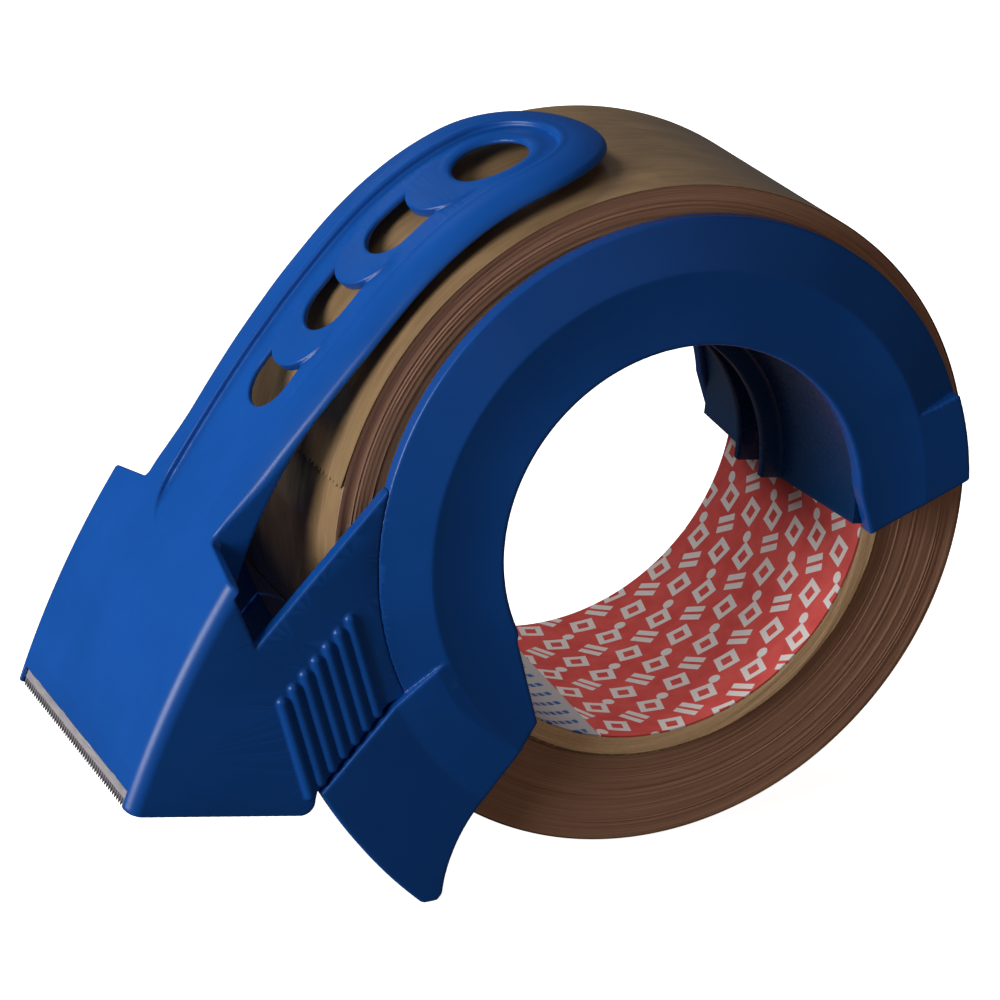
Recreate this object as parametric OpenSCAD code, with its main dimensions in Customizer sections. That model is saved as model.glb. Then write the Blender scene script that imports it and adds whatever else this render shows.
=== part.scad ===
// Hand-held packing-tape dispenser with a loaded roll of tape.
// Frame: origin at mid width near the roll's centre; Y is along the roll's axis, with the near
// side plate towards -Y; the nose and its blade are towards -X; Z is up. Millimetres.

/* [Tape roll] */
// Width of the cardboard core
core_w = 50; // [49:0.5:51]
// Width of the wound tape
tape_w = 48; // [36:1:48]
// Inner radius of the core, on its printed liner
core_r = 38.3; // [37.9:0.1:38.5]
// Thickness of the core's cardboard wall
core_wall = 3; // [2.5:0.1:3.5]
// Outer radius of the full winding
roll_r = 57.6; // [52:0.1:57.8]
// Angle at which the tape's free end lies on the roll
free_end_a = 166; // [160:1:170]

/* [Side plates] */
// Wall thickness of the side plates and cheeks
wall = 2.4; // [2:0.1:2.6]
// Gap between the core's end and the inner face of a side plate
side_gap = 1.6; // [1.4:0.1:2]
// Outer radius of the C-shaped ring
ring_r = 53.3; // [52.5:0.1:53.6]
// Radius of the hand opening through the ring
hole_r = 32.3; // [32:0.1:33]
// Height of the ring's raised face above the cheeks
ring_rise = 2.4; // [1.8:0.1:2.8]
// Radius where the ring's bevel meets its raised face
bevel_r = 45; // [44:0.1:46]

/* [Hub collars] */
// Outer radius of a collar where it leaves the plate
hub_base_r = 35.6; // [35:0.1:35.6]
// Outer radius of a collar at its tapered inner end
hub_tip_r = 33.1; // [32.6:0.1:33.1]
// Distance from mid width to a collar's inner end
hub_tip_y = 3.5; // [3:0.5:6]
// Thickness of the collar wall and its flange
hub_wall = 2; // [1.8:0.1:2.2]
// Inner radius of the flange at the collar's inner end
flange_r = 27.4; // [26.5:0.1:29]

/* [Brake arm] */
// Radius of the arm's top surface where it follows the roll
arm_top_r = 60.8; // [60.7:0.1:61.5]
// Thickness of the arm's rim
arm_t = 2; // [1.8:0.1:2]
// Half of the arm's width
arm_half = 20; // [19:0.5:20.5]
// Depth of the recessed track in the arm
track_d = 0.8; // [0.5:0.1:1]
// Half of the track's width
track_half = 11.6; // [10.5:0.1:12.5]
// Half of the width of a finger slot
slot_half = 5.7; // [5:0.1:6]
// Radius of the round opening at the arm's tip
tip_hole_r = 6.5; // [6:0.1:7]

/* [Nose and blade] */
// Thickness of the convex front plate
front_t = 2.2; // [2:0.1:2.4]
// Number of grip ribs on each cheek
ribs = 7; // [5:1:7]
// Height of a grip rib above the cheek
rib_h = 0.8; // [0.5:0.1:1]
// Pitch of the blade's teeth
tooth_pitch = 1; // [0.9:0.1:1.5]
// Depth of the blade's teeth
tooth_d = 0.8; // [0.6:0.1:1]
// Thickness of the steel blade
blade_t = 0.5; // [0.4:0.05:0.6]

/* [Hidden] */
$fn = 96;

blue = [0.03, 0.17, 0.50];

// distances from mid width
in_h = core_w/2 + side_gap;   // inner face of a plate
out_h = in_h + wall;          // outer face of a cheek
top_h = out_h + ring_rise;    // raised face of the ring
hub_base_h = top_h - 3;       // outer end of a collar

ring_centre = [2.75, -0.1];   // X-Z, of the rings and hub collars
roll_centre = [1.2, -0.4];    // X-Z, of the roll, hanging on the collars
seam = 0.35;                  // clearance round the ring and at the flex line

// ---- outer profile -----------------------------------------------------------
// Three tangent arcs in X-Z, by the angle of the normal: tip, middle and nose.
// Places along it are lengths from the flex line (0), positive to the tip, negative down the nose.
tip_end_a = 136;              // where the tip arc meets the middle arc
flex_a = 145.2;               // where the middle arc meets the nose arc
middle_r = 303;
nose_r = 170;
middle_len = (flex_a - tip_end_a)*PI/180*middle_r;

function polar(r, angle) = r*[cos(angle), sin(angle)];
middle_centre = polar(arm_top_r - middle_r, tip_end_a);
nose_centre = middle_centre + polar(middle_r - nose_r, flex_a);

// point on the profile, moved outwards by out
function profile_point(angle, out = 0) =
    angle <= tip_end_a ? polar(arm_top_r + out, angle) :
    angle <= flex_a ? middle_centre + polar(middle_r + out, angle) :
                      nose_centre + polar(nose_r + out, angle);

function normal_at(place) =
    place < 0 ? flex_a - place*180/PI/nose_r :
    place <= middle_len ? flex_a - place*180/PI/middle_r :
                          tip_end_a - (place - middle_len)*180/PI/arm_top_r;

function run(from, to, steps, out = 0) =
    [for (i = [0:steps]) profile_point(normal_at(from + (to - from)*i/steps), out)];

function arc(centre, r, from, to, steps) =
    [for (i = [0:steps]) centre + polar(r, from + (to - from)*i/steps)];

// ---- frames and extrusions ---------------------------------------------------
// an X-Z drawing with height measured outwards from mid width; near is -1, far is 1
module side(which) {
    if (which < 0) rotate([90, 0, 0]) children();
    else mirror([0, 1, 0]) rotate([90, 0, 0]) children();
}

module both_sides() {
    for (which = [-1, 1]) side(which) children();
}

module slab(low, high) {
    translate([0, 0, low]) linear_extrude(high - low) children();
}

// an X-Z drawing extruded across the width, to half on either side
module across(half) {
    translate([0, half, 0]) rotate([90, 0, 0]) linear_extrude(2*half) children();
}

// local frame on the outer profile: X towards the tip, Z outwards
module at_place(place) {
    angle = normal_at(place);
    point = profile_point(angle);
    translate([point[0], 0, point[1]]) rotate([0, 90 - angle, 0]) children();
}

// curved strip along the profile, between two outward offsets
module strip(half, from, to, steps, inner, outer = 0) {
    across(half) polygon(concat(run(from, to, steps, outer), run(to, from, steps, inner)));
}

// ---- nose --------------------------------------------------------------------
nose_top = -2.2;              // places along the profile
nose_edge = -40.3;
blade_place = -36.5;
blade_depth = 1.06;           // from the front plate's outer face to the blade's upper face
blade_max_w = 54;
blade_root = -6.2;            // root of the teeth, in the frame at blade_place
stake_ys = [-18, 0, 18];
stake_r = 1.2;
rebate_w = 54.3;
rib_r = 1;
rib_start = [-55.6, -6.3];
rib_step = [-1.98, -2.08];
arm_root_half = 15.2;         // half width of the arm at the flex line
shoulder_y = 16;              // start of the relief beside the arm's root
relief_w = 40;
cheek_low = [-61.5, -36.2];   // the cheek's lower corner next to the tail

module cheek_2d() {
    difference() {
        polygon(concat(
            run(nose_top, -43.4, 14),
            [[-93.4, -34.0], [-91.8, -34.6]],
            arc([-64.3, -37.3], 2.4, -102, -20, 5),
            [cheek_low, [-46, -19.7], [-46, 17.4], [-71.6, -8.5]]));
        translate(ring_centre) circle(ring_r + seam);
        // clearance along the tail's root
        polygon([cheek_low + [-2.2, -2.8], cheek_low + [-0.25, 0.26],
                 [-49.1, -22.6], [-44, -21], [-44, -40]]);
    }
}

// parallel round-ended ribs, trimmed to the cheek's outline
module grip_ribs() {
    intersection() {
        slab(out_h - 1, out_h + rib_h) cheek_2d();
        for (i = [0:ribs - 1])
            translate(concat(rib_start + i*rib_step, [out_h - 0.2])) {
                sphere(rib_r, $fn = 24);
                rotate([0, 0, -75.5]) rotate([0, 90, 0]) cylinder(r = rib_r, h = 24, $fn = 24);
            }
    }
}

module nose_housing() {
    color(blue) {
        difference() {
            union() {
                strip(out_h, nose_top, nose_edge, 14, -front_t);
                both_sides() slab(in_h, out_h) cheek_2d();
                both_sides() grip_ribs();
            }
            // rebate in the front plate's inner face, where the blade lies
            at_place(blade_place)
                translate([-8, -rebate_w/2, -front_t - 1.5])
                    cube([12.2, rebate_w, front_t + 0.6]);
            // shallow notches along the edge above the blade
            for (y = [-19.5, -6.5, 6.5, 19.5])
                at_place(nose_edge) translate([-0.7, y - 1.1, -3]) cube([3, 2.2, 2.5]);
            // room for the arm's shoulders
            for (y = [-shoulder_y - relief_w, shoulder_y])
                at_place(nose_top) translate([0.01, y, -6]) cube([6, relief_w, 8]);
        }
        // headed stakes that carry the blade
        for (y = stake_ys)
            at_place(blade_place) translate([0, y, -blade_depth - blade_t - 0.9]) {
                cylinder(r = stake_r, h = blade_t + 1.2);
                cylinder(r1 = 1.6, r2 = 2, h = 0.75);
            }
        // narrower strip from the front plate up to the arm's root
        strip(arm_root_half, -seam, -3, 3, -front_t);
    }
}

// bar between the cheeks, with three small ridges on its upper face
module tack_bar() {
    color(blue * 0.8) across(in_h)
        polygon([[-86.5, -33.4], [-78.5, -34.9], [-78.2, -33.1],
                 [-79.8, -32.8], [-80.3, -31.9], [-80.8, -32.6],
                 [-82.3, -32.3], [-82.8, -31.4], [-83.3, -32.1],
                 [-84.8, -31.8], [-85.3, -30.9], [-85.8, -31.6], [-86.2, -31.5]]);
}

module cutter_blade() {
    teeth = floor(blade_max_w/tooth_pitch/2)*2;
    half = teeth*tooth_pitch/2;
    tooth_points = [for (i = [0:teeth - 1], is_tip = [false, true]) is_tip ?
        [blade_root - tooth_d, -half + (i + 0.5)*tooth_pitch] :
        [blade_root, -half + i*tooth_pitch + 0.02]];
    color([0.62, 0.61, 0.63])
        at_place(blade_place) translate([0, 0, -blade_depth - blade_t]) difference() {
            linear_extrude(blade_t)
                polygon(concat([[4, half], [4, -half]], tooth_points, [[blade_root, half]]));
            for (y = stake_ys) translate([0, y, -1]) cylinder(r = stake_r + 0.1, h = 3);
        }
}

// ---- brake arm ---------------------------------------------------------------
arm_end = 101;                // beyond the rounded tip
arm_cut_half = 30;            // wider than the arm, which its plan trims
chord_a = -43.5;              // tilt of the chord along the tapering length
plan_xs = [-52.2, -38, -24, -8, 21];   // stations along the chord
slots = [[20, 34], [35.6, 50], [52, 67]];      // [lower end, upper end]
recuts = [[35.6, 41], [52, 58]];               // slot ends cut again through the lips
lips = [[41.3, 10.7], [57.7, 10.7], [75.2, 11.1]];   // [place of straight edge, radius]
lip_overhang = 1.2;           // from a lip's centre to its straight edge
tip_hole_place = 78.4;

// plan with a rounded tip, as a block along the outward normal; half widths at plan_xs
module plan_block(tip_place, halves) {
    last = len(plan_xs) - 1;
    at_place(tip_place) translate([0, 0, -9]) cylinder(r = halves[last], h = 18);
    rotate([0, chord_a, 0]) translate([0, 0, 20]) linear_extrude(60)
        polygon(concat([for (i = [0:last]) [plan_xs[i], halves[i]]],
                       [for (i = [last:-1:0]) [plan_xs[i], -halves[i]]]));
}

// the arm's plan, narrowed by inset on each side
module arm_plan(inset) {
    plan_block(78, [for (half = [arm_root_half, 17.6, 19.1, arm_half, arm_half]) half - inset]);
}

module track_plan() {
    plan_block(78.6, [for (taper = [2.6, 1.6, 0.6, 0, 0]) track_half - taper]);
}

// a slot cutter with a round lower end and a square upper end
module slot(ends) {
    middle = (ends[0] + ends[1])/2;
    round_x = ends[0] - middle + slot_half;
    at_place(middle) translate([0, 0, -8]) linear_extrude(16) {
        translate([round_x, 0]) circle(slot_half);
        translate([round_x, -slot_half]) square([ends[1] - ends[0] - slot_half, 2*slot_half]);
    }
}

// scale-like lip, round towards the flex line and straight towards the tip
module scale_lip(edge, r) {
    at_place(edge - lip_overhang) intersection() {
        translate([0, 0, -track_d - 0.5]) cylinder(r = r, h = 1.1);
        translate([-r - 1, -r - 1, -5]) cube([r + 1 + lip_overhang, 2*r + 2, 10]);
    }
}

// skirts under both long edges, deep at the root
module skirts() {
    intersection() {
        across(arm_cut_half) polygon(concat(
            run(0.2, 58, 24, -0.5),
            run(58, 45, 6, -arm_t),
            [[-49.6, 34.0], [-53.9, 29.0], [-59.2, 21.5], [-63, 14.5],
             [-66.6, 6], [-68.8, 0.6], [-70.6, 1.6]]));
        difference() {
            arm_plan(0);
            arm_plan(2);
        }
    }
}

module brake_arm() {
    color(blue) difference() {
        union() {
            difference() {
                intersection() {
                    strip(arm_cut_half, 0, arm_end, 44, -arm_t);
                    arm_plan(0);
                }
                // recessed track
                intersection() {
                    strip(arm_cut_half, 1.5, arm_end, 44, -track_d, 2);
                    track_plan();
                }
                for (ends = slots) slot(ends);
            }
            skirts();
            for (lip = lips) scale_lip(lip[0], lip[1]);
        }
        for (ends = recuts) slot(ends);
        at_place(tip_hole_place) translate([0, 0, -8]) cylinder(r = tip_hole_r, h = 16);
    }
}

// ---- side plates -------------------------------------------------------------
block_start_a = -29;          // full-height block at the ring's open end
block_end_a = 18;             // where the bevel takes over from it
// straight step beside the tail, X-Z
tail_step = [[-40.4, -15.9], [-39.1, -22.9], [-34.9, -41.2]];

// sections through the ring and its end block: [radius, height from mid width]
ring_section = [
    [ring_r, in_h], [ring_r, out_h], [bevel_r, top_h], [hole_r, top_h], [hole_r, hub_base_h],
    [hub_base_r + 0.6, hub_base_h], [hub_base_r + 0.8, top_h - 2.2],
    [bevel_r - 0.6, top_h - 2.2], [ring_r - 2.2, in_h]];
block_sections = [
    // top, in place of the bevel
    [[ring_r - 0.05, out_h - 0.6], [ring_r - 0.05, top_h - 0.5], [ring_r - 0.5, top_h - 0.05],
     [bevel_r - 1, top_h - 0.05], [bevel_r - 1, top_h - 1.2]],
    // rim wall
    [[ring_r - 0.04, in_h + 0.3], [ring_r - 0.04, top_h - 0.55],
     [ring_r - 2.4, top_h - 0.55], [ring_r - 2.4, in_h + 0.3]]];

module tail_2d() {
    difference() {
        polygon(concat(
            arc([21.5, 7], 93.2, 207.5, 225.6, 8),
            [[-42.9, -60.1], [-40.8, -59.9], [-39.9, -59.0]],
            arc([-10.9, -62.2], 29.1, 173, 137.5, 8),
            [[-30, -38], [-40, -14], [-48.6, -22.9]]));
        translate(ring_centre) circle(hole_r + 6);
    }
}

// the C-shaped sector of the ring, between its two cut ends
module sector_2d() {
    polygon(concat(
        [[35.2, -7.3], [54.8, 0.2]],
        arc([0, 0], 80, 2, 200, 24),
        [[-90, -60], [-34.3, -42.3], [-23.5, -29.7], [-27.2, -14.3], [0, 6]]));
}

module plate() {
    difference() {
        union() {
            intersection() {
                translate(concat(ring_centre, [0])) union() {
                    rotate([0, 0, -30]) rotate_extrude(angle = 278) polygon(ring_section);
                    for (section = block_sections)
                        rotate([0, 0, block_start_a])
                            rotate_extrude(angle = block_end_a - block_start_a) polygon(section);
                }
                slab(in_h - 1, in_h + 9) sector_2d();
            }
            slab(in_h + 0.05, out_h - 0.05) tail_2d();
            // raised face beside the tail, inside the straight step
            slab(in_h + 0.1, top_h - 0.05)
                polygon(concat(tail_step, [[-24.2, -30.2], [-30.7, -15.7], [-31.4, -14.3]]));
        }
        // low facet between the straight step and the tail
        slab(out_h + 0.7, out_h + 5.7)
            polygon(concat([for (point = tail_step) point - [0.05, 0]],
                           [[-34, -52], [-70, -52], [-70, -36.4]]));
        // hollow behind the raised face beside the tail
        slab(in_h - 1, in_h + 0.6) polygon([[-37, -22], [-34, -35], [-28, -30], [-31, -21]]);
    }
}

module near_side_plate() { color(blue) side(-1) plate(); }
module far_side_plate() { color(blue) side(1) plate(); }

// ---- hub collars -------------------------------------------------------------
// tapered, open C with an inward flange at its inner end
module collar() {
    flange_h = hub_tip_y + hub_wall;
    translate(concat(ring_centre, [0])) rotate([0, 0, -8.5]) rotate_extrude(angle = 212)
        polygon([[hub_base_r, hub_base_h], [hub_tip_r, hub_tip_y],
                 [flange_r, hub_tip_y], [flange_r, flange_h],
                 [hub_tip_r - hub_wall, flange_h], [hub_base_r - hub_wall, hub_base_h]]);
}

module near_hub_collar() { color(blue * 0.7) side(-1) collar(); }
module far_hub_collar() { color(blue * 0.7) side(1) collar(); }

// ---- tape roll ---------------------------------------------------------------
liner_r = core_r + 0.3;            // outside of the liner
core_out_r = liner_r + core_wall;
film_gap = 0.02;
turn_a = 335;                      // sweep of the outermost turn
torn_pitch = 1.5;                  // teeth of the torn end
torn_d = 1.1;

module at_roll() {
    translate([roll_centre[0], 0, roll_centre[1]]) children();
}

module tube(outer, inner, width) {
    at_roll() rotate([90, 0, 0]) translate([0, 0, -width/2]) difference() {
        cylinder(r = outer, h = width, $fn = 180);
        translate([0, 0, -1]) cylinder(r = inner, h = width + 2, $fn = 180);
    }
}

module tape_core() { color([0.68, 0.56, 0.40]) tube(core_out_r, liner_r, core_w); }
module core_liner() { color([0.80, 0.24, 0.24]) tube(liner_r, core_r, core_w); }
module tape_first_wraps() {
    color([0.72, 0.58, 0.30]) tube(core_out_r + 0.6, core_out_r + film_gap, tape_w + 0.6);
}
module tape_winding() { color([0.45, 0.36, 0.22]) tube(roll_r, core_out_r + 0.7, tape_w); }

// the outermost turn, with a toothed end where it was torn off
module tape_free_end() {
    torn_edge = [for (i = [-16:16], k = [0, 1]) [k*torn_d, (i + k/2)*torn_pitch]];
    color([0.52, 0.42, 0.26]) at_roll() difference() {
        rotate([90, 0, 0]) translate([0, 0, -tape_w/2]) rotate([0, 0, free_end_a - turn_a])
            rotate_extrude(angle = turn_a, $fn = 180)
                translate([roll_r + film_gap, 0]) square([0.2, tape_w]);
        rotate([0, -free_end_a, 0]) translate([roll_r - 1, 0, 0])
            rotate([0, 90, 0]) linear_extrude(3)
                polygon(concat([[-3, -30], [0, -30]], torn_edge, [[0, 30], [-3, 30]]));
    }
}

nose_housing();
tack_bar();
cutter_blade();
brake_arm();
near_side_plate();
far_side_plate();
near_hub_collar();
far_hub_collar();
tape_core();
core_liner();
tape_first_wraps();
tape_winding();
tape_free_end();
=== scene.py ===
"""Hand-held tape dispenser with a roll of packing tape.

The roll turns about an axis parallel to Y. The nose with the serrated blade points to -X and
down, the arm runs from it over the roll towards +X, and a ring-shaped plate closes each side,
near at -Y and far at +Y. Shapes are worked out in millimetres and stored in metres.
"""
import math
from itertools import product

import bmesh
import bpy
import numpy as np
from mathutils import Matrix, Vector


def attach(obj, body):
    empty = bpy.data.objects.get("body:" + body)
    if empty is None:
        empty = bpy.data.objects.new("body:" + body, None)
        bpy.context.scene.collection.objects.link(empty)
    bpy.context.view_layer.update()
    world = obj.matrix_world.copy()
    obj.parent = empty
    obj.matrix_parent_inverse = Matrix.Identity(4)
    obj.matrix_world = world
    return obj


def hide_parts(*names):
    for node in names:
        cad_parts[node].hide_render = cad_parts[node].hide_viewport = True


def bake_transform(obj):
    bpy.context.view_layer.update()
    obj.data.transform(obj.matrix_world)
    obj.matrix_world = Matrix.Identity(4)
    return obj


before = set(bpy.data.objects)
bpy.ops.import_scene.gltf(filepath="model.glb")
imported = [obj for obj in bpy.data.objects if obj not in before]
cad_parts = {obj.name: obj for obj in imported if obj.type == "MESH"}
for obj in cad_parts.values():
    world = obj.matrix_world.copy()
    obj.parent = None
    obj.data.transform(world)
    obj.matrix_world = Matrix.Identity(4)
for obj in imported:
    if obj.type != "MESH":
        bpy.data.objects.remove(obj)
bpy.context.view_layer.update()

MM = 0.001

# ---------------------------------------------------------------- driving dimensions, mm
CORE_W, CORE_R, CORE_WALL = 50.0, 38.3, 3.0
TAPE_W, ROLL_R = 48.0, 57.6
FREE_END_DEG = 166.0                       # where the tape's cut end lies round the roll
ROLL_C = (1.2, -0.4)                       # roll axis, x and z
RING_C = (2.75, -0.1)                      # centre of the side plates' ring, x and z
RING_R, HOLE_R, BEVEL_R = 53.3, 32.3, 45.0
BEVEL_DROP = 2.4
IN_H, OUT_H = 26.6, 29.0                   # half widths inside and outside the cheeks
TOP_H = OUT_H + BEVEL_DROP                 # half width over the side plates

# The outer profile is three tangent arcs: arm, neck and nose.
ARM_R, NECK_R, NOSE_R = 60.8, 303.0, 170.0
ARM_A, NOSE_A = math.radians(136.0), math.radians(145.2)   # neck meets arm, neck meets nose
NECK_C = ((ARM_R - NECK_R) * math.cos(ARM_A), (ARM_R - NECK_R) * math.sin(ARM_A))
NOSE_C = (NECK_C[0] + (NECK_R - NOSE_R) * math.cos(NOSE_A),
          NECK_C[1] + (NECK_R - NOSE_R) * math.sin(NOSE_A))
NECK_LEN = (NOSE_A - ARM_A) * NECK_R

# blade: its place along the profile, the height of its top face, and its stakes
BLADE_AT, BLADE_TOP, BLADE_THICK = -36.5, -1.06, 0.5
BLADE_A = NOSE_A - BLADE_AT / NOSE_R       # direction of the profile's normal there
STAKE_Y = 18.0


# ---------------------------------------------------------------- distance field helpers
def round_max(a, b, radius):
    """Intersection with a rounded edge."""
    return (np.minimum(np.maximum(a, b), -radius)
            + np.hypot(np.maximum(a + radius, 0), np.maximum(b + radius, 0)))


def round_min(a, b, radius):
    """Union with a rounded inner corner."""
    return (np.maximum(np.minimum(a, b), radius)
            - np.hypot(np.maximum(radius - a, 0), np.maximum(radius - b, 0)))


def soft_min(a, b, width):
    overlap = np.maximum(width - np.abs(a - b), 0)
    return np.minimum(a, b) - overlap * overlap / (4 * width)


def soft_max(a, b, width):
    return -soft_min(-a, -b, width)


def smoothstep(t):
    t = np.clip(t, 0, 1)
    return t * t * (3 - 2 * t)


def poly_dist(x, z, points):
    """Signed distance from a closed outline, negative inside."""
    x, z = np.broadcast_arrays(x, z)
    nearest = np.full(x.shape, 1e9, np.float64)
    inside = np.zeros(x.shape, bool)
    for i in range(len(points)):
        ax, az = points[i]
        bx, bz = points[i - 1]
        ex, ez = bx - ax, bz - az
        wx, wz = x - ax, z - az
        t = np.clip((wx * ex + wz * ez) / (ex * ex + ez * ez), 0, 1)
        nearest = np.minimum(nearest, (wx - ex * t) ** 2 + (wz - ez * t) ** 2)
        if ez != 0:
            inside ^= ((az > z) != (bz > z)) & (x < ex * (z - az) / ez + ax)
    return np.where(inside, -np.sqrt(nearest), np.sqrt(nearest))


def line_dist(x, z, start, end):
    """Signed distance from a line, positive on its right-hand side."""
    ex, ez = end[0] - start[0], end[1] - start[1]
    return ((x - start[0]) * ez - (z - start[1]) * ex) / math.hypot(ex, ez)


def arc_points(centre, radius, deg0, deg1, count):
    angles = [math.radians(deg0 + (deg1 - deg0) * i / count) for i in range(count + 1)]
    return [(centre[0] + radius * math.cos(a), centre[1] + radius * math.sin(a))
            for a in angles]


# ---------------------------------------------------------------- outer profile
# "along" is the length along the profile, 0 where nose meets neck and rising over the arm;
# "out" is the height above the profile.
def profile_to_xz(along, out):
    nose, neck = along < 0, along <= NECK_LEN
    angle = np.where(nose, NOSE_A - along / NOSE_R,
                     np.where(neck, NOSE_A - along / NECK_R,
                              ARM_A - (along - NECK_LEN) / ARM_R))
    centre_x = np.where(nose, NOSE_C[0], np.where(neck, NECK_C[0], 0.0))
    centre_z = np.where(nose, NOSE_C[1], np.where(neck, NECK_C[1], 0.0))
    radius = np.where(nose, NOSE_R, np.where(neck, NECK_R, ARM_R)) + out
    return centre_x + radius * np.cos(angle), centre_z + radius * np.sin(angle)


def profile_point(along, out=0.0):
    x, z = profile_to_xz(np.float64(along), np.float64(out))
    return float(x), float(z)


def xz_to_profile(x, z):
    arm_a = np.arctan2(z, x)
    arm_a = np.where(arm_a < -1.0, arm_a + 2 * math.pi, arm_a)
    neck_a = np.arctan2(z - NECK_C[1], x - NECK_C[0])
    nose_a = np.arctan2(z - NOSE_C[1], x - NOSE_C[0])
    nose_a = np.where(nose_a < -1.0, nose_a + 2 * math.pi, nose_a)
    on_arm, on_neck = neck_a <= ARM_A, neck_a <= NOSE_A
    along = np.where(on_arm, NECK_LEN + (ARM_A - arm_a) * ARM_R,
                     np.where(on_neck, (NOSE_A - neck_a) * NECK_R, (NOSE_A - nose_a) * NOSE_R))
    out = np.where(on_arm, np.hypot(x, z) - ARM_R,
                   np.where(on_neck, np.hypot(x - NECK_C[0], z - NECK_C[1]) - NECK_R,
                            np.hypot(x - NOSE_C[0], z - NOSE_C[1]) - NOSE_R))
    return along, out


# ---------------------------------------------------------------- body moulding: dimensions
# cheek outline (x, z) behind the nose; towards -X it runs past the profile, which trims it
CHEEK = [profile_point(-2.2), (-71.6, -8.5), (-48.4, 15.1), (-40.0, 23.6), (-40.0, -20.0),
         (-49.1, -22.45), (-61.6, -35.9), *arc_points((-64.3, -37.3), 2.4, -20, -102, 6),
         (-91.8, -34.6), (-93.4, -34.0), (-94.6, -33.1), (-99.5, -31.4), (-99.5, 10.0)]

STATIONS = np.arange(-12, 104, 0.5)


def smoothed(places, values, rounds):
    """Table values at every station, rounded off by repeated averaging."""
    line = np.interp(STATIONS, places, values)
    for _ in range(rounds):
        line[1:-1] = (line[:-2] + 2 * line[1:-1] + line[2:]) / 4
    return line


# height of the skirt's lower edge at places along the profile
SKIRT_LOW = smoothed([-9.0, -3.7, 1.4, 6.3, 14.2, 21.6, 26.0, 60.0, 100.0],
                     [-10.0, -8.4, -7.0, -5.6, -3.8, -2.6, -2.3, -2.3, -2.3], 12)
# half widths of the arm and of its recessed track
ARM_HALF = smoothed([-12, 0, 14, 27, 40, 120], [15.0, 15.5, 17.6, 19.1, 20, 20], 20)
TRACK_HALF = smoothed([-6, 0, 14, 27, 40, 120], [8.6, 9.0, 10.0, 11.0, 11.6, 11.6], 20)

ARM_END, ARM_END_R = 78.0, 20.0            # centre and radius of the arm's round end
HOLE_AT, ARM_HOLE_R = 78.4, 6.5
TRACK_START, TRACK_START_R = 4.6, 9.35
TRACK_END, TRACK_END_R = 78.6, 11.6
SLOTS = [(21.6, 34.0), (37.0, 50.0), (53.0, 66.0)]      # start and end along the profile
SLOT_R = 5.7
LIPS = [(29.3, 7.7), (46.0, 7.7), (62.8, 8.2)]          # start along the profile, radius
RIBS, RIB_LEN, RIB_R = 7, 17.8, 1.0
RIB_START, RIB_STEP = (-55.6, -6.3), (-1.98, -2.08)     # x and z
RIB_DIR = (math.cos(math.radians(-75.5)), math.sin(math.radians(-75.5)))
# rebate that takes the blade: its upper end, half width and the wall left over it
REBATE_END, REBATE_HALF, REBATE_WALL = -32.3, 27.15, 0.92


# ---------------------------------------------------------------- body moulding: field
def top_wall(along, y, out):
    """Nose plate and arm with its skirts and recessed track."""
    arm_half = np.interp(along, STATIONS, ARM_HALF)
    track_half = np.interp(along, STATIONS, TRACK_HALF)
    arm = np.where(along < ARM_END, y - arm_half, np.hypot(along - ARM_END, y) - ARM_END_R)
    arm = np.maximum(arm, -(along + 12.0))
    nose = (along - (0.6 - (y - 15.5) * 0.1986)) * 0.981
    plan = round_min(nose, arm, 1.3)
    # crowned rims on the arm, faint facet above the blade
    rim = np.maximum(y - (arm_half - 6.2), 0)
    rim = np.where(along > ARM_END, np.maximum(np.hypot(along - ARM_END, y) - 13.8, 0), rim)
    crown = 0.036 * rim * rim * smoothstep((along - 1.0) / 14.0)
    top = out + crown + 0.10 * np.maximum(-36.6 - along, 0)
    # low swelling round the track
    track = np.where(
        along < TRACK_START, np.hypot(along - TRACK_START, y) - TRACK_START_R,
        np.where(along < TRACK_END, y - track_half,
                 np.hypot(along - TRACK_END, y) - TRACK_END_R))
    top = top - 0.12 * np.exp(-((track - 0.75) / 0.5) ** 2) * smoothstep((along + 5.2) / 6.0)

    thick = 2.2 - 0.2 * smoothstep(along / 8)
    thick = np.where((along < REBATE_END) & (y < REBATE_HALF), REBATE_WALL, thick)
    edge = 0.5 + 0.5 * smoothstep(along / 8)
    slab = np.maximum(round_max(top, y - OUT_H, 2.8), -(out + thick))
    slab = round_max(slab, plan, edge)
    slab = round_max(slab, -(along + 40.3), 0.35)
    # skirts under the arm's long edges
    low = np.interp(along, STATIONS, SKIRT_LOW)
    skirt = np.maximum(round_max(top, arm, edge), np.minimum(-(arm + 2.0), out + 50))
    skirt = round_max(skirt, (low - out) * 0.93, 0.5)
    skirt = round_max(skirt, -(along + 9.0), 0.4)
    field = np.minimum(slab, skirt)
    # the track is scooped at its lower end and has a bead round the hole
    depth = 0.95 * smoothstep((along + 5.2) / 8.0)
    bead = 0.22 * np.exp(-((np.hypot(along - HOLE_AT, y) - 8.3) / 1.1) ** 2)
    return round_max(field, round_min(-track, out + depth - bead, 0.35), 0.28)


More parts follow.
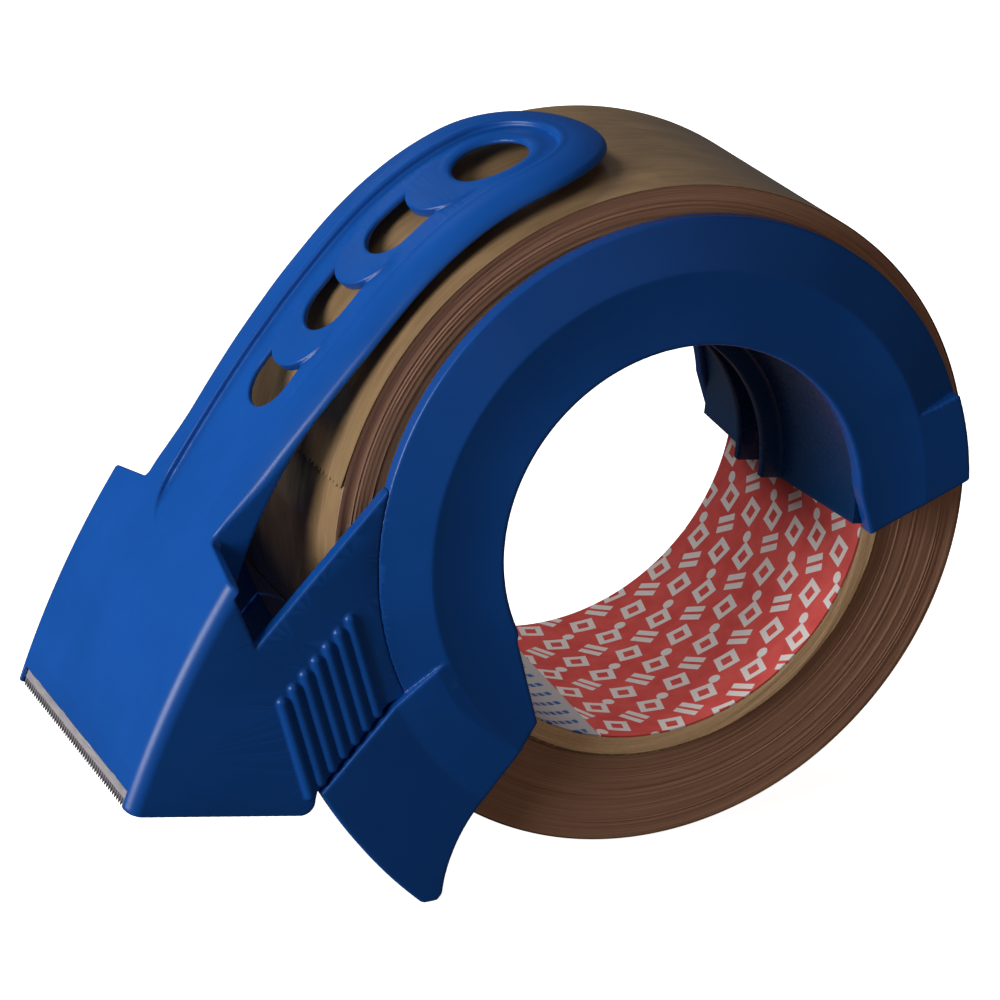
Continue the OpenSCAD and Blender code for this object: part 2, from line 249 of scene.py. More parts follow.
def with_slots(field, along, y, out):
    """Cut the finger slots and the hole, and lay a scale lip over the top of each slot."""
    cuts = []
    for start, end in SLOTS:
        centre = start + SLOT_R
        slot = np.where(along < centre, np.hypot(along - centre, y) - SLOT_R, y - SLOT_R)
        slot = np.maximum(slot, along - end)
        cuts.append((slot, 0.45))
    cuts.append((np.hypot(along - HOLE_AT, y) - ARM_HOLE_R, 1.0))
    for cut, edge in cuts:
        field = round_max(field, -cut, edge)
    for (start, radius), (next_cut, edge) in zip(LIPS, cuts[1:]):
        disc = np.hypot(along - (start + radius), y) - radius
        t = np.clip((along - start) / 9.5, 0, 1.25)
        height = -0.85 + 0.85 * (1 - t) * (1 - 0.25 * np.clip(t, 0, 1))
        lip = round_max(disc, out - height, 0.45)
        lip = round_max(lip, -(out + 2.0), 0.25)
        lip = np.maximum(lip, along - (start + 11.5))
        lip = round_max(lip, -next_cut, edge)
        field = np.minimum(field, lip)
    return field


def cheeks(x, z, along, y, out):
    """Side walls of the nose with their grip ribs and a slit for the blade's ends."""
    shell = np.maximum(round_max(out, y - OUT_H, 2.8), IN_H - y)
    outline = poly_dist(x, z, CHEEK)
    cheek = round_max(shell, outline, 0.42)
    clear_of_ring = RING_R + 0.04 - np.hypot(x - RING_C[0], z - RING_C[1])
    outline = np.maximum(outline, clear_of_ring)
    cheek = np.maximum(cheek, outline)
    nearest = np.inf
    for i in range(RIBS):
        from_x = x - (RIB_START[0] + RIB_STEP[0] * i)
        from_z = z - (RIB_START[1] + RIB_STEP[1] * i)
        t = np.clip(from_x * RIB_DIR[0] + from_z * RIB_DIR[1], 0, RIB_LEN)
        nearest = np.minimum(
            nearest, (from_x - t * RIB_DIR[0]) ** 2 + (from_z - t * RIB_DIR[1]) ** 2)
    rib = np.sqrt(nearest + (y - (OUT_H - 0.2)) ** 2) - RIB_R
    rib = np.maximum(rib, OUT_H - 1.0 - y)
    cheek = round_min(cheek, np.maximum(rib, outline), 0.25)
    slit_length = np.maximum(-(along + 44.6), along - REBATE_END)
    slit_height = np.maximum(out + REBATE_WALL, -(out + 3.7))
    slit = np.maximum(slit_length, np.maximum(slit_height, y - REBATE_HALF))
    return np.maximum(cheek, -slit)


def body_field(along, y, out):
    """Nose and arm as one moulding, in profile coordinates."""
    y = np.abs(y)
    x, z = profile_to_xz(along, out)
    out = out - smoothstep((along - 48.0) / 32.0)      # the arm rises towards its end
    field = with_slots(top_wall(along, y, out), along, y, out)
    field = np.minimum(field, cheeks(x, z, along, y, out))
    # notches in the plate's edge above the blade
    for notch_y in (6.5, 19.5):
        notch = np.maximum(np.abs(y - notch_y) - 0.9, along + 39.75)
        field = np.maximum(field, -np.maximum(notch, out + 0.55))
    # stakes that carry the blade
    for stake_y in (0.0, STAKE_Y):
        radial = np.hypot(along - BLADE_AT, y - stake_y)
        shaft = np.maximum(radial - 1.2, np.maximum(out + 0.8, -(out + 2.1)))
        dome = np.sqrt(radial ** 2 + ((out + 1.82) * 2.3) ** 2) - 2.0
        head = round_max(dome, out + 1.72, 0.1)
        field = np.minimum(field, np.minimum(shaft, head))
    return field


def body_xyz(points):
    along, out = xz_to_profile(points[:, 0], points[:, 2])
    return body_field(along, points[:, 1], out)


# ---------------------------------------------------------------- side plate field
# outline (x, z) of the tail below and ahead of the ring
TAIL = [*arc_points((21.5, 7.0), 93.2, 207.5, 225.6, 16),
        (-42.9, -60.1), (-41.7, -60.2), (-40.6, -59.8), (-39.9, -59.0),
        *arc_points((-10.9, -62.2), 29.1, 173, 137.5, 16),
        (-23.5, -29.7), (-27.2, -14.3), (-40.4, -15.9), (-48.6, -22.9)]
# area (x, z) that the ring is cut away from, on its -X side
RING_GAP = [(-90, -90), (-34.3, -42.3), (-23.5, -29.7), (-27.2, -14.3), (-24, 2), (60, 2),
            (60, -90)]
RING_END = [(35.2, -7.3), (54.8, 0.2)]     # line of the ring's cut end on its +X side
MOUTH_EDGE = [(34.45, 4.0), (38.2, -9.0)]  # line on which the opening runs out straight
BLOCK_STEP_A = math.radians(18.0)
PLATE_WALL = 2.2
HUB_WALL, HUB_R = 3.0, 36.3                # thicker wall round the opening, and its radius


def plate_field(x, z, height):
    """Side plate; height is measured outwards from the middle plane."""
    dx, dz = x - RING_C[0], z - RING_C[1]
    radius = np.hypot(dx, dz)
    # cut ends of the ring
    right = np.where(x > 0, line_dist(x, z, *RING_END), -50.0)
    left = np.where(x < 30, -poly_dist(x, z, RING_GAP), -30.0)
    left = np.where(x < 0, left, np.minimum(left, -1.0))
    sector = np.maximum(right, left)
    # ring with its bevel; the raised face is faintly dished
    dish = 0.30 * np.maximum(1 - ((radius - 39.0) / 6.0) ** 2, 0)
    face = TOP_H - 0.02 - dish
    bevel = TOP_H - (radius - BEVEL_R) * (BEVEL_DROP / (RING_R - BEVEL_R))
    top = soft_min(face, bevel, 0.05)
    at_cheek = (x < -38.0) & (z < 17.5)
    ring = round_max(height - top, radius - RING_R, np.where(at_cheek, 0.03, 0.30))
    flare = np.where((x > 20) & (z < 8), line_dist(x, z, *MOUTH_EDGE), -20.0)
    ring = round_max(ring, np.maximum(HOLE_R - radius, flare), 0.55)
    # hollow towards the roll
    hollow = np.minimum(TOP_H - PLATE_WALL,
                        TOP_H - PLATE_WALL - (radius - BEVEL_R + 0.6) * (2.6 / 6.7))
    hollow = np.where(radius < HUB_R, TOP_H - HUB_WALL, np.maximum(hollow, IN_H))
    ring = np.maximum(ring, hollow - height)
    ring = round_max(ring, sector, 0.4)
    # full-height block at the open end: the bevel stops at a straight step
    step = dz * math.cos(BLOCK_STEP_A) - dx * math.sin(BLOCK_STEP_A)
    block = np.maximum(height - (face - 0.03), step)
    block = np.maximum(block, 43.5 - radius)
    block = round_max(block, radius - RING_R, 0.5)
    block = np.maximum(block, hollow - height)
    block = round_max(block, sector, 0.4)
    block = np.where(x > 0, block, 40.0)
    # tail, with a raised facet that slopes down from the ring
    tail_top = OUT_H + 1.1 - 0.034 * np.maximum(-24.0 - z, 0)
    facet = tail_top + np.minimum(np.maximum(TOP_H - 0.05 - tail_top, 0),
                                  0.15 * np.maximum(55.7 - radius, 0))
    top = soft_max(facet, tail_top, 0.12)
    top = np.minimum(top, np.where(radius < 46.5, face - 0.03, 99.0))
    tail = round_max(height - top, poly_dist(x, z, TAIL), 0.35)
    bottom = np.where(radius < HUB_R, TOP_H - HUB_WALL, IN_H + 0.02)
    tail = np.maximum(tail, bottom - height)
    tail = np.maximum(tail, 36.0 - radius)
    return np.minimum(np.minimum(ring, block), tail)


def plate_xyz(points):
    return plate_field(points[:, 0], points[:, 2], -points[:, 1])


# ---------------------------------------------------------------- surface nets
def cell_edges():
    """The twelve edges of a unit cell as pairs of corners."""
    edges = []
    for axis in range(3):
        for late, early in product((0, 1), repeat=2):
            start, end = [early, late], [early, late]
            start.insert(axis, 0)
            end.insert(axis, 1)
            edges.append((start, end))
    return edges


def surface_nets(field):
    """Quads round the field's zero level; positions are in grid steps."""
    inside = field < 0
    nx, ny, nz = field.shape
    count = np.zeros((nx - 1, ny - 1, nz - 1), np.uint8)
    for i, j, k in product((0, 1), repeat=3):
        count += inside[i:nx - 1 + i, j:ny - 1 + j, k:nz - 1 + k]
    active = (count > 0) & (count < 8)
    cells = np.nonzero(active)
    total = len(cells[0])
    index = np.full(active.shape, -1, np.int32)
    index[cells] = np.arange(total, dtype=np.int32)

    # one vertex per active cell, at the mean of its edge crossings
    verts = np.zeros((total, 3))
    hits = np.zeros(total)
    for start, end in cell_edges():
        value0, value1 = (field[tuple(cells[k] + corner[k] for k in range(3))].astype(float)
                          for corner in (start, end))
        crossed = (value0 < 0) != (value1 < 0)
        t = np.where(crossed, value0 / np.where(crossed, value0 - value1, 1), 0)
        for k in range(3):
            verts[:, k] += np.where(crossed, start[k] + t * (end[k] - start[k]), 0)
        hits += crossed
    verts = verts / hits[:, None] + np.stack(cells, 1)

    # one quad per crossed grid edge, joining the four cells round it
    quads = []
    for axis in range(3):
        size = field.shape[axis]
        low = inside.take(np.arange(size - 1), axis=axis)
        high = inside.take(np.arange(1, size), axis=axis)
        at = np.nonzero(low != high)
        side1, side2 = [k for k in range(3) if k != axis]
        keep = ((at[side1] > 0) & (at[side2] > 0)
                & (at[side1] < field.shape[side1] - 1) & (at[side2] < field.shape[side2] - 1))
        at = tuple(k[keep] for k in at)
        corners = []
        for step1, step2 in ((-1, -1), (0, -1), (0, 0), (-1, 0)):
            cell = list(at)
            cell[side1] = cell[side1] + step1
            cell[side2] = cell[side2] + step2
            corners.append(index[tuple(cell)])
        quad = np.stack(corners, 1)
        forward = low[at]
        if axis == 1:
            forward = ~forward
        quads.append(np.where(forward[:, None], quad, quad[:, ::-1]))
    return verts, np.concatenate(quads)


def grid_to_values(verts, *axes):
    return [np.interp(verts[:, k], np.arange(len(axis)), axis) for k, axis in enumerate(axes)]


def gradient(field, points, step=0.02):
    slope = np.zeros_like(points)
    for k in range(3):
        ahead = points.copy()
        ahead[:, k] += step
        behind = points.copy()
        behind[:, k] -= step
        slope[:, k] = (field(ahead) - field(behind)) / (2 * step)
    return slope


def settle(field, points, cap):
    """Two steps of the points towards the field's surface, each no longer than cap."""
    for _ in range(2):
        value = field(points)
        slope = gradient(field, points)
        move = -value[:, None] * slope / np.maximum((slope * slope).sum(1), 0.3)[:, None]
        length = np.linalg.norm(move, axis=1)
        move *= np.minimum(1, cap / np.maximum(length, 1e-9))[:, None]
        points = points + move
    return points


# ---------------------------------------------------------------- mesh helpers
def make_mesh(name, verts, faces, smooth=True):
    """Object from vertices in mm; faces are a quad array or a list of mixed polygons."""
    mesh = bpy.data.meshes.new(name)
    verts = np.asarray(verts, float) * MM
    if isinstance(faces, np.ndarray):
        count, corners = faces.shape
        mesh.vertices.add(len(verts))
        mesh.vertices.foreach_set("co", verts.astype(np.float32).ravel())
        mesh.loops.add(count * corners)
        mesh.loops.foreach_set("vertex_index", faces.astype(np.int32).ravel())
        mesh.polygons.add(count)
        starts = np.arange(0, count * corners, corners, dtype=np.int32)
        mesh.polygons.foreach_set("loop_start", starts)
        mesh.update(calc_edges=True)
    else:
        mesh.from_pydata([tuple(v) for v in verts], [], faces)
    mesh.validate()
    mesh.polygons.foreach_set("use_smooth", np.full(len(mesh.polygons), smooth))
    ob = bpy.data.objects.new(name, mesh)
    bpy.context.scene.collection.objects.link(ob)
    return ob


def apply_modifiers(ob):
    graph = bpy.context.evaluated_depsgraph_get()
    graph.update()
    mesh = bpy.data.meshes.new_from_object(ob.evaluated_get(graph))
    old = ob.data
    ob.modifiers.clear()
    ob.data = mesh
    bpy.data.meshes.remove(old)
    mesh.name = ob.name


def face_outwards(ob):
    bm = bmesh.new()
    bm.from_mesh(ob.data)
    bmesh.ops.recalc_face_normals(bm, faces=bm.faces)
    bm.to_mesh(ob.data)
    bm.free()


def sharpen(ob, degrees):
    ob.data.set_sharp_from_angle(angle=math.radians(degrees))


def vertex_vectors(ob, attribute):
    values = np.zeros(len(ob.data.vertices) * 3, np.float32)
    ob.data.vertices.foreach_get(attribute, values)
    return values.reshape(-1, 3)


def coords_mm(ob):
    return vertex_vectors(ob, "co").astype(float) / MM


def finish_field_mesh(ob, field, target):
    """Thin the flat areas, settle the vertices again and shade by the field's normals."""
    triangles = sum(len(face.vertices) - 2 for face in ob.data.polygons)
    if triangles > target:
        thin = ob.modifiers.new("thin", "DECIMATE")
        thin.ratio = target / triangles
        thin.use_collapse_triangulate = True
        apply_modifiers(ob)
    points = settle(field, coords_mm(ob), cap=0.05)
    ob.data.vertices.foreach_set("co", (points * MM).astype(np.float32).ravel())
    ob.data.update()
    ob.data.polygons.foreach_set("use_smooth", np.ones(len(ob.data.polygons), bool))
    normals = gradient(field, points, 0.06)
    normals /= np.maximum(np.linalg.norm(normals, axis=1), 1e-9)[:, None]
    # keep the field's normal only where it agrees with the mesh
    mesh_normals = vertex_vectors(ob, "normal")
    astray = (normals * mesh_normals).sum(1) < 0.6
    normals[astray] = mesh_normals[astray]
    ob.data.normals_split_custom_set_from_vertices([tuple(v) for v in normals])


# ---------------------------------------------------------------- body and side plates
def build_body():
    step_along, step_y, step_out = ((0.36, 0.36, 0.33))
    along = np.arange(-46.5, 99.6, step_along)
    y = np.arange(int(31.2 / step_y) + 2) * step_y
    out = np.arange(-51.5, 2.6, step_out)
    field = body_field(along[:, None, None], y[None, :, None], out[None, None, :])
    field = field.astype(np.float32)
    # the half at -Y is a mirror image
    field = np.concatenate([field[:, :0:-1, :], field], 1)
    y = np.concatenate([-y[:0:-1], y])
    verts, quads = surface_nets(field)
    along, y, out = grid_to_values(verts, along, y, out)
    x, z = profile_to_xz(along, out)
    points = settle(body_xyz, np.stack([x, y, z], 1), cap=0.3)
    ob = make_mesh("body_moulding", points, quads[:, ::-1])
    finish_field_mesh(ob, body_xyz, 120000)
    return ob


def build_plates():
    step, step_height = ((0.36, 0.24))
    x = np.arange(-64, 58, step)
    z = np.arange(-62.5, 55.5, step)
    height = np.arange(26.0, 32.2, step_height)
    field = plate_field(x[:, None, None], z[None, :, None], height[None, None, :])
    verts, quads = surface_nets(field.astype(np.float32))
    x, z, height = grid_to_values(verts, x, z, height)
    points = settle(plate_xyz, np.stack([x, -height, z], 1), cap=0.25)
    plates = []
    for name, side, faces in (("near_plate_shell", 1.0, quads[:, ::-1]),
                              ("far_plate_shell", -1.0, quads)):
        mirror = np.array([1, side, 1.0])
        ob = make_mesh(name, points * mirror, faces)
        finish_field_mesh(ob, lambda p: plate_xyz(p * mirror), 80000)
        plates.append(ob)
    return plates


body = build_body()
near_plate, far_plate = build_plates()


# ---------------------------------------------------------------- turned pieces
SEGMENTS = 288


def sweep_faces(count, size, closed=False):
    """Faces that join a row of equal cross-sections, with end caps unless it closes."""
    faces = []
    for i in range(count if closed else count - 1):
        here, there = i * size, (i + 1) % count * size
        for j in range(size):
            k = (j + 1) % size
            faces.append((here + j, here + k, there + k, there + j))
    if not closed:
        last = (count - 1) * size
        faces.append(tuple(range(size - 1, -1, -1)))
        faces.append(tuple(range(last, last + size)))
    return faces


def lathe(name, profile, arc=(0, 360), segments=SEGMENTS, centre=ROLL_C, wobble=None):
    """Turn a closed list of (radius, y) about Y; arc is in degrees in the X-Z plane."""
    start, end = arc
    closed = end - start == 360
    count = segments if closed else segments + 1
    angle = np.radians(start + (end - start) * np.arange(count) / segments)[:, None]
    profile = np.array(profile)
    radius = profile[:, 0]
    y = np.tile(profile[:, 1], (count, 1))
    if wobble is not None:
        y = wobble(angle, radius, y)
    verts = np.stack([centre[0] + radius * np.cos(angle), y,
                      centre[1] + radius * np.sin(angle)], 2).reshape(-1, 3)
    ob = make_mesh(name, verts, sweep_faces(count, len(profile), closed))
    face_outwards(ob)
    return ob


def mirrored(profile):
    """The other half of a profile, continuing round from its last point."""
    return [(radius, -y) for radius, y in profile[::-1]]


def edge_wobble(beyond, waves):
    """Move points further out than beyond by waves of (size, turns, twist per mm radius)."""
    def wobble(angle, radius, y):
        wave = sum(size * np.sin(turns * angle + radius * twist)
                   for size, turns, twist in waves)
        return np.where(np.abs(y) > beyond, y + np.sign(y) * wave, y)
    return wobble


def round_corners(points, radii, steps):
    rounded = []
    for i, radius in enumerate(radii):
        before, corner = Vector(points[i - 1]), Vector(points[i])
        after = Vector(points[(i + 1) % len(points)])
        to_before, to_after = (before - corner).normalized(), (after - corner).normalized()
        reach = min(radius / math.tan(to_before.angle(to_after) / 2),
                    (before - corner).length * 0.45, (after - corner).length * 0.45)
        for k in range(steps + 1):
            t = k / steps
            rounded.append(tuple(
                corner + to_before * reach * (1 - t) ** 2 + to_after * reach * t ** 2))
    return rounded


def build_collar(name, side):
    """Hub collar reaching from a side plate into the roll's core."""
    base_y = TOP_H - 3.02
    outline = [(35.55, base_y), (33.1, 3.5), (27.4, 3.5), (27.4, 5.5), (30.9, 5.5),
               (33.0, base_y)]
    outline = round_corners(outline, radii=[0.05, 0.7, 0.5, 0.5, 0.8, 0.05], steps=4)
    ob = lathe(name, [(radius, side * y) for radius, y in outline],
               arc=(-8.5, 203.5), segments=150, centre=RING_C)
    edge = ob.modifiers.new("edge", "BEVEL")
    edge.width = 0.00035
    edge.segments = 2
    edge.limit_method = "ANGLE"
    edge.angle_limit = math.radians(50)
    apply_modifiers(ob)
    sharpen(ob, 40)
    return ob


def build_winding():
    """Wound tape: fine layers stand a little in or out on the side faces."""
    rng = np.random.RandomState(7)
    half = TAPE_W / 2
    layers = []
    radius = CORE_R + CORE_WALL + 1.0
    while radius < ROLL_R - 0.12:
        layers.append(radius)
        radius += rng.uniform(0.16, 0.42)
    layers.append(ROLL_R - 0.06)
    count = len(layers)
    offset = rng.normal(0, 0.05, count)
    offset = np.clip(offset + 0.06 * np.sin(np.arange(count) * 0.37), -0.16, 0.12)
    drift = rng.uniform(0, 6.28, count)
    side = [(layers[i], half - 0.16 + offset[i]) for i in range(count)]
    rim = [(ROLL_R, half - 0.3), *((ROLL_R, half - 12 * i) for i in range(1, 4)),
           (ROLL_R, -half + 0.3)]

    def wobble(angle, radius, y):
        size, phase = np.zeros(len(radius)), np.zeros(len(radius))
        size[:count] = size[-count:] = 0.03
        phase[:count] = drift
        phase[-count:] = drift[::-1]
        wave = np.sin(2 * angle + phase) + 0.6 * np.sin(5 * angle + 2 * phase)
        return y + size * wave * np.sign(y)

    ob = lathe("wound_tape", side + rim + mirrored(side), wobble=wobble)
    sharpen(ob, 38)
    return ob


def build_free_end():
    """Outermost turn of tape, with its toothed end slightly lifted."""
    length_steps, width_points = (420), 97
    end_a, span = math.radians(FREE_END_DEG), math.radians(330.0)
    tooth, tooth_depth, film = 1.5, 1.1, 0.09
    y = np.linspace(-TAPE_W / 2 + 0.02, TAPE_W / 2 - 0.02, width_points)
    zigzag = np.abs(((y / tooth) % 1.0) - 0.5) * 2.0 * tooth_depth
    zigzag += 0.12 * np.sin(y * 2.1) + 0.08 * np.sin(y * 5.3)
    # rows lie closer together near the cut end
    rows = np.concatenate([np.linspace(0, 0.02, 16)[:-1], np.linspace(0.02, 1, length_steps)])
    verts = []
    for thickness in (0.0, film):
        for t in rows:
            arc = t * span * ROLL_R
            angle = end_a - t * span - (zigzag * max(0.0, 1 - arc / 12.0)) / ROLL_R
            lift = 0.26 * max(0.0, 1 - arc / 9.0) ** 2
            curl = 0.05 * np.sin(y * 0.55 + 1.0) * max(0.0, 1 - arc / 16.0)
            radius = (ROLL_R + 0.03 + lift + curl * 0.8 + thickness
                      + 0.05 * math.exp(-arc / 6.0))
            verts.append(np.stack([ROLL_C[0] + radius * np.cos(angle), y,
                                   ROLL_C[1] + radius * np.sin(angle)], 1))
    count, width = len(rows), width_points
    upper = count * width                  # first vertex of the upper surface
    faces = []
    for i in range(count - 1):
        for j in range(width - 1):
            a = i * width + j
            b, c, d = a + 1, a + width + 1, a + width
            faces.append((a, b, c, d))
            faces.append((upper + d, upper + c, upper + b, upper + a))
    last = (count - 1) * width
    for j in range(width - 1):
        faces.append((j + 1, j, upper + j, upper + j + 1))
        a = last + j
        faces.append((a, a + 1, upper + a + 1, upper + a))
    for i in range(count - 1):
        a, b = i * width, (i + 1) * width
        faces.append((a, b, upper + b, upper + a))
        a, b = a + width - 1, b + width - 1
        faces.append((b, a, upper + a, upper + b))
    ob = make_mesh("tape_end_turn", np.concatenate(verts), np.array(faces))
    face_outwards(ob)
    sharpen(ob, 50)
    return ob


def build_core():
    """Cardboard core with its plies showing at the ends."""
    half = CORE_W / 2
    inner, outer = CORE_R + 0.3, CORE_R + CORE_WALL + 0.3
    plies = [(radius, half - (0.10 if i in (0, 8) else 0.0) - (0.05 if i % 2 else 0.0))
             for i, radius in enumerate(np.linspace(inner, outer, 9))]
    profile = [*plies, (outer, half - 0.5), (outer, -half + 0.5), *mirrored(plies),
               (inner, -half + 0.5), (inner, half - 0.5)]
    waves = [(0.035, 7, 3.1), (0.03, 19, 5.0), (0.02, 43, 9.0)]
    ob = lathe("cardboard_core", profile, wobble=edge_wobble(half - 0.3, waves))
    sharpen(ob, 45)
    return ob


def build_liner():
    """Printed liner inside the core."""
    half = CORE_W / 2
    upper = [(CORE_R + 0.28, half - 0.05), (CORE_R, half - 0.07), (CORE_R, half - 12)]
    ob = lathe("printed_core_liner", [*upper, (CORE_R, 0), *mirrored(upper)])
    sharpen(ob, 45)
    return ob


def build_first_turns():
    """First loose turns on the core, crinkled."""
    half = TAPE_W / 2 + 0.3
    inner, outer = CORE_R + CORE_WALL + 0.33, CORE_R + CORE_WALL + 0.92
    upper = [(inner, half), (inner + 0.2, half + 0.05), (inner + 0.4, half),
             (outer, half - 0.1), (outer, 8)]
    waves = [(0.09, 11, 7), (0.07, 29, 2.0), (0.05, 67, 0)]
    ob = lathe("first_turns", upper + mirrored(upper), wobble=edge_wobble(half - 0.4, waves))
    sharpen(ob, 45)
    return ob


near_collar = build_collar("near_collar_ring", -1)
far_collar = build_collar("far_collar_ring", 1)
winding = build_winding()
free_end = build_free_end()
core = build_core()
liner = build_liner()
first_turns = build_first_turns()


# ---------------------------------------------------------------- blade
def build_blade():
    """Steel strip with ground teeth: each tooth is bevelled on its upper face."""
    pitch, half_count = 1.0, 27
    root, tip = -5.78, -6.98               # along the profile from the stakes
    bottom = BLADE_TOP - BLADE_THICK
    origin_x, origin_z = profile_point(BLADE_AT)
    cos_a, sin_a = math.cos(BLADE_A), math.sin(BLADE_A)
    columns = []                           # y, reach of the edge, at a tip
    for i in range(-half_count, half_count):
        middle = i * pitch + pitch / 2
        columns += [(i * pitch + 0.03, root, False), (middle - 0.05, tip, True),
                    (middle + 0.05, tip, True), ((i + 1) * pitch - 0.03, root, False)]
    verts = []
    for y, reach, at_tip in columns:
        section = [(4.0, BLADE_TOP), (-3.9, BLADE_TOP), (-5.42, BLADE_TOP),
                   (reach, BLADE_TOP - (0.26 if at_tip else 0.12)),
                   (reach, bottom + (0.06 if at_tip else 0.02)),
                   (-5.4, bottom), (4.0, bottom)]
        verts += [(origin_x + sin_a * along + cos_a * out, y,
                   origin_z - cos_a * along + sin_a * out) for along, out in section]
    ob = make_mesh("serrated_blade", verts, sweep_faces(len(columns), 7), smooth=False)
    face_outwards(ob)
    return ob


def drill_stake_holes(ob):
    x, z = profile_point(BLADE_AT, BLADE_TOP - BLADE_THICK / 2)
    for y in (-STAKE_Y, 0.0, STAKE_Y):
        bpy.ops.mesh.primitive_cylinder_add(vertices=32, radius=1.3 * MM, depth=3 * MM,
                                            location=(x * MM, y * MM, z * MM),
                                            rotation=(0, math.pi / 2 - BLADE_A, 0))
        cutter = bpy.context.object
        cutter.name = "tmp_cut"
        hole = ob.modifiers.new("hole", "BOOLEAN")
        hole.operation = "DIFFERENCE"
        hole.object = cutter
        hole.solver = "EXACT"
        apply_modifiers(ob)
        bpy.data.objects.remove(cutter)


blade = build_blade()
drill_stake_holes(blade)


# ---------------------------------------------------------------- shader graph helper
class Shader:
    """A material whose nodes feed one Principled shader."""

    def __init__(self, name):
        self.material = bpy.data.materials.new(name)
        self.material.use_nodes = True
        self.tree = self.material.node_tree
        self.tree.nodes.clear()
        output = self.node("OutputMaterial")
        self.principled = self.node("BsdfPrincipled")
        self.tree.links.new(self.principled.outputs[0], output.inputs[0])

    def node(self, kind):
        return self.tree.nodes.new("ShaderNode" + kind)

    def feed(self, socket, value):
        """Link another socket or set a plain value; colours get an alpha of 1."""
        if isinstance(value, bpy.types.NodeSocket):
            self.tree.links.new(value, socket)
        elif socket.type == "RGBA":
            socket.default_value = (*value, 1.0)
        else:
            socket.default_value = value

    def surface(self, **values):
        for name, value in values.items():
            self.feed(self.principled.inputs[name.replace("_", " ")], value)

    def position(self):
        return self.node("TexCoord").outputs["Object"]

    def math(self, operation, *values, clamp=False):
        node = self.node("Math")
        node.operation = operation
        node.use_clamp = clamp
        for i, value in enumerate(values):
            self.feed(node.inputs[i], value)
        return node.outputs[0]

    def add(self, a, b):
        return self.math("ADD", a, b)

    def sub(self, a, b):
        return self.math("SUBTRACT", a, b)

    def mul(self, a, b):
        return self.math("MULTIPLY", a, b)

    def less(self, a, b):
        return self.math("LESS_THAN", a, b)

    def abs(self, a):
        return self.math("ABSOLUTE", a)

    def mix(self, under, over, by):
        node = self.node("Mix")
        node.data_type = "RGBA"
        for i, value in ((0, by), (6, under), (7, over)):
            self.feed(node.inputs[i], value)
        return node.outputs[2]

    def noise(self, vector, scale=1.0, detail=3, rough=0.6, distortion=0.0):
        node = self.node("TexNoise")
        for name, value in (("Scale", scale), ("Detail", detail), ("Roughness", rough),
                            ("Distortion", distortion), ("Vector", vector)):
            self.feed(node.inputs[name], value)
        return node.outputs["Fac"]

    def ramp(self, value, span, to=(0.0, 1.0)):
        node = self.node("MapRange")
        for i, limit in enumerate((value, *span, *to)):
            self.feed(node.inputs[i], limit)
        return node.outputs[0]

    def bump(self, height, strength, distance, normal=None):
        node = self.node("Bump")
        self.feed(node.inputs["Strength"], strength)
        self.feed(node.inputs["Distance"], distance)
        self.feed(node.inputs["Height"], height)
        if normal is not None:
            self.feed(node.inputs["Normal"], normal)
        return node.outputs["Normal"]

    def combine(self, *values):
        node = self.node("CombineXYZ")
        for i, value in enumerate(values):
            self.feed(node.inputs[i], value)
        return node.outputs[0]

    def roll_coords(self, position, *wanted):
        """The wanted ones of radius in mm, angle in radians and y in mm about the roll."""
        split = self.node("SeparateXYZ")
        self.feed(split.inputs[0], position)
        x, y, z = split.outputs
        x = self.sub(x, ROLL_C[0] * MM)
        z = self.sub(z, ROLL_C[1] * MM)
        make = {
            "radius": lambda: self.mul(
                self.math("SQRT", self.add(self.mul(x, x), self.mul(z, z))), 1000.0),
            "angle": lambda: self.math("ARCTAN2", z, x),
            "y": lambda: self.mul(y, 1000.0),
        }
        return [make[name]() for name in wanted]


# ---------------------------------------------------------------- materials
def blue_plastic(name, base=(0.0045, 0.078, 0.36), rough=0.34, dark=1.0):
    m = Shader(name)
    position = m.position()
    cloud = m.noise(position, scale=45, detail=3, rough=0.55)
    fine = m.noise(position, scale=900)
    grain = m.noise(position, scale=3800, detail=2, rough=0.5)
    edges = m.ramp(m.node("NewGeometry").outputs["Pointiness"], span=(0.52, 0.62))
    deep = tuple(c * dark for c in base)
    light = tuple(c * dark * 1.13 + 0.0008 for c in base)
    colour = m.mix(deep, light, by=m.ramp(cloud, span=(0.35, 0.7)))
    # rubbed edges: slightly paler, only where the fine noise allows it
    wear = m.math("MULTIPLY", edges, m.ramp(fine, span=(0.45, 0.75)), clamp=True)
    colour = m.mix(colour, over=(0.03, 0.17, 0.52), by=m.mul(wear, 0.35))
    gloss = m.add(m.ramp(cloud, span=(0.3, 0.75), to=(rough - 0.03, rough + 0.05)),
                  m.mul(wear, -0.05))
    gloss = m.add(gloss, m.ramp(fine, span=(0.3, 0.7), to=(-0.02, 0.03)))
    height = m.add(m.mul(fine, 0.6), m.mul(grain, 0.4))
    waves = m.bump(cloud, strength=0.10, distance=0.0006)
    m.surface(Base_Color=colour, Roughness=gloss, IOR=1.49, Specular_IOR_Level=0.42,
              Normal=m.bump(height, strength=0.05, distance=0.00006, normal=waves))
    return m.material


